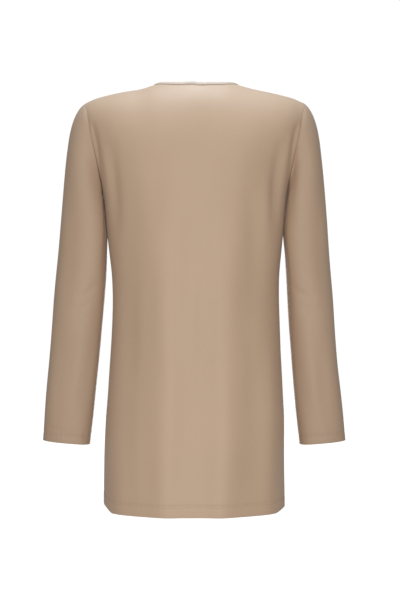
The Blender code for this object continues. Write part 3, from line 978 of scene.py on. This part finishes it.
def thread(name, colour):
    """Sewing thread: a plain matt colour that darkens in fine specks, as twisted yarn does."""
    material, tree, shader = new_material(name, {"Sheen Weight": 0.2, "Specular IOR Level": 0.3})
    place = node(tree, "ShaderNodeTexCoord", output=3)
    twist = noise(tree, place, TWIST_SCALE, 1.0)
    darker = tuple(0.8 * part for part in colour)
    tree.links.new(mix_colours(tree, twist, darker, colour).socket, shader.inputs["Base Color"])
    tree.links.new((twist * 0.1 + 0.6).socket, shader.inputs["Roughness"])
    return material


# ---------------------------------------------------------------- the pieces


def finish_piece(node_name=None):
    """Hides the solid that a piece stands for when its node is named, and otherwise does nothing."""
    if node_name:
        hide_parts(node_name)


def nearest_row(edge, distance):
    """Index of the grid row whose distance from the edge is nearest to the one asked for."""
    return int(np.argmin(np.abs(edge[:, edge.shape[1] // 2] - distance)))


def make_panel(panel, cloth, sewing):
    """Back or front with its stitched hem."""
    points, normals, edge, places = finished_panel(panel)
    wall = cloth_wall(f"{panel}_cloth", points, normals, edge, places, cloth, closed=False)
    finish_piece(panel)
    rows = [nearest_row(edge, row) for row in HEM_ROWS]
    stitches = stitches_piece(f"{panel}_hem_stitches",
                              [(points[r], normals[r], False) for r in rows], sewing)
    finish_piece()


def make_sleeve(side, cloth, sewing):
    """Set-in sleeve with its stitched cuff."""
    points, normals, edge, places = finished_sleeve(side)
    wall = cloth_wall(f"sleeve_{side}_cloth", points, normals, edge, places, cloth, closed=True)
    finish_piece(f"sleeve_{side}")
    rows = [nearest_row(edge, row) for row in CUFF_ROWS]
    stitches = stitches_piece(f"sleeve_{side}_cuff_stitches",
                              [(points[r], normals[r], True) for r in rows], sewing)
    finish_piece()


def make_binding(cloth, sewing):
    """Neck binding: a narrow folded strip that stands on the neckline all round, and its stitches, whose
    near-black thread is painted shade for the groove under the binding.
    """
    points, normals = neck_loop()
    along = unit(np.roll(points, -1, axis=0) - np.roll(points, 1, axis=0))
    up = np.array([0.0, 0.0, 1.0])
    inward = unit(np.cross(along, up))
    middle_lean, side_lean = BINDING_LEAN["middle"], BINDING_LEAN["side"]
    lean = middle_lean + (side_lean - middle_lean) * inward[:, :1] ** 2
    upright = np.cos(lean) * up + np.sin(lean) * inward
    upright = unit(upright - np.sum(upright * along, axis=-1, keepdims=True) * along)
    facing = unit(np.cross(upright, along))
    base = points - CLOTH / 2 * normals
    out, high = binding_section()
    sections = (base[:, None] + out[None, :, None] * facing[:, None]
                + high[None, :, None] * upright[:, None])
    way = run_lengths(np.concatenate([points, points[:1]]), 0)
    round_section = run_lengths(np.concatenate([sections[0], sections[0, :1]]), 0)
    places = np.stack(np.meshgrid(way, round_section, indexing="ij"), axis=-1)
    piece = ring_tube("neck_binding_cloth", sections, cloth, places)
    finish_piece("neck_binding")
    # Stitches in the groove under the binding, in the dark thread that paints the groove's shade
    seam = base + (BINDING_THICKNESS / 2 + THREAD) * facing + 0.4 * MM * upright
    stitches = stitches_piece("neck_seam_stitches", [(seam, facing, True)], sewing)
    finish_piece()


# ---------------------------------------------------------------- floor, light and camera


def make_floor():
    """Plain pale round floor, far below the hem, at the height where the wearer would stand."""
    turn = np.linspace(0, 2 * np.pi, FLOOR_CORNERS + 1)[:-1]
    height = np.full_like(turn, FLOOR_HEIGHT)
    rim = np.stack([FLOOR_RADIUS * np.cos(turn), FLOOR_RADIUS * np.sin(turn), height], axis=-1)
    mesh = bpy.data.meshes.new("floor")
    mesh.from_pydata(rim.tolist(), [], [list(range(len(turn)))])
    material, _, _ = new_material("pale_floor", {
        "Base Color": (*FLOOR_COLOUR, 1),
        "Roughness": 0.9,
        "Emission Color": (1, 1, 1, 1),
        "Emission Strength": 0.8,
    })
    floor = put_in_scene("floor", mesh, material)
    floor.visible_diffuse = floor.visible_glossy = False


def softbox(name, place, aim, size, power, colour=(1, 1, 1)):
    """Soft rectangular light at a place, facing a point."""
    light = bpy.data.lights.new(name, "AREA")
    light.shape = "RECTANGLE"
    light.size, light.size_y = size
    light.energy = power
    light.color = colour
    lamp = bpy.data.objects.new(name, light)
    lamp.location = place
    lamp.rotation_euler = (Vector(aim) - Vector(place)).to_track_quat("-Z", "Y").to_euler()
    bpy.context.scene.collection.objects.link(lamp)


def make_world():
    """White surroundings, dimmer as a light than they look."""
    world = bpy.data.worlds.new("studio")
    world.use_nodes = True
    tree = world.node_tree
    seen = node(tree, "ShaderNodeLightPath", output=0)
    level = seen * (WORLD_SEEN - WORLD_LIGHT) + WORLD_LIGHT
    tree.nodes["Background"].inputs["Color"].default_value = (1, 1, 1, 1)
    tree.links.new(level.socket, tree.nodes["Background"].inputs["Strength"])
    bpy.context.scene.world = world


def make_camera():
    """Level camera behind the wearer's back, at the height of the waist."""
    data = bpy.data.cameras.new("camera")
    data.lens = CAMERA_LENS
    data.sensor_width = 36
    camera = bpy.data.objects.new("camera", data)
    camera.location = CAMERA_PLACE
    camera.rotation_euler = (np.pi / 2, 0, np.pi)
    bpy.context.scene.collection.objects.link(camera)
    bpy.context.scene.camera = camera


def make_studio():
    """Floor, lights, surroundings and camera."""
    make_floor()
    make_world()
    softbox("back_key", place=(0.0, 1.4, -0.52), aim=(0, 0, -0.52), size=(0.8, 1.9), power=15.4)
    softbox("front_key", place=(0.0, -1.4, -0.48), aim=(0, 0, -0.48), size=(0.8, 1.9), power=14.6)
    softbox("overhead_wide", place=(0.0, 0.08, 0.75), aim=(0, 0.05, -0.05), size=(1.5, 0.3), power=2.3,
            colour=(0.90, 0.98, 1.05))
    softbox("overhead", place=(0.0, 0.06, 0.56), aim=(0, 0.02, -0.05), size=(0.34, 0.24), power=3.7,
            colour=(0.82, 0.98, 1.12))
    bpy.context.scene.view_settings.view_transform = "Standard"
    make_camera()


def main():
    """The five pieces of cloth with their stitches, then the studio."""
    body_cloth = jersey("jersey", JERSEY_LIGHT, JERSEY_DARK, BODY_SHEEN)
    # The sleeves take a darker copy of the jersey, a painted shade
    sleeve_cloth_painted_shade = jersey("sleeve_jersey_painted_shade", with_painted_shade(JERSEY_LIGHT), with_painted_shade(JERSEY_DARK), BODY_SHEEN)
    binding_cloth = jersey("binding_jersey", BINDING_LIGHT, BINDING_DARK, BINDING_SHEEN)
    sewing = thread("sewing_thread", THREAD_COLOUR)
    # Thread of the neck seam: real stitches, with painted shade in their dark colour
    seam_thread_painted_shade = thread("seam_thread_painted_shade", SEAM_THREAD_PAINTED_SHADE_COLOUR)
    for panel in OUTWARD:
        make_panel(panel, body_cloth, sewing)
    for side in SIDES:
        make_sleeve(side, sleeve_cloth_painted_shade, sewing)
    make_binding(binding_cloth, seam_thread_painted_shade)
    make_studio()


main()
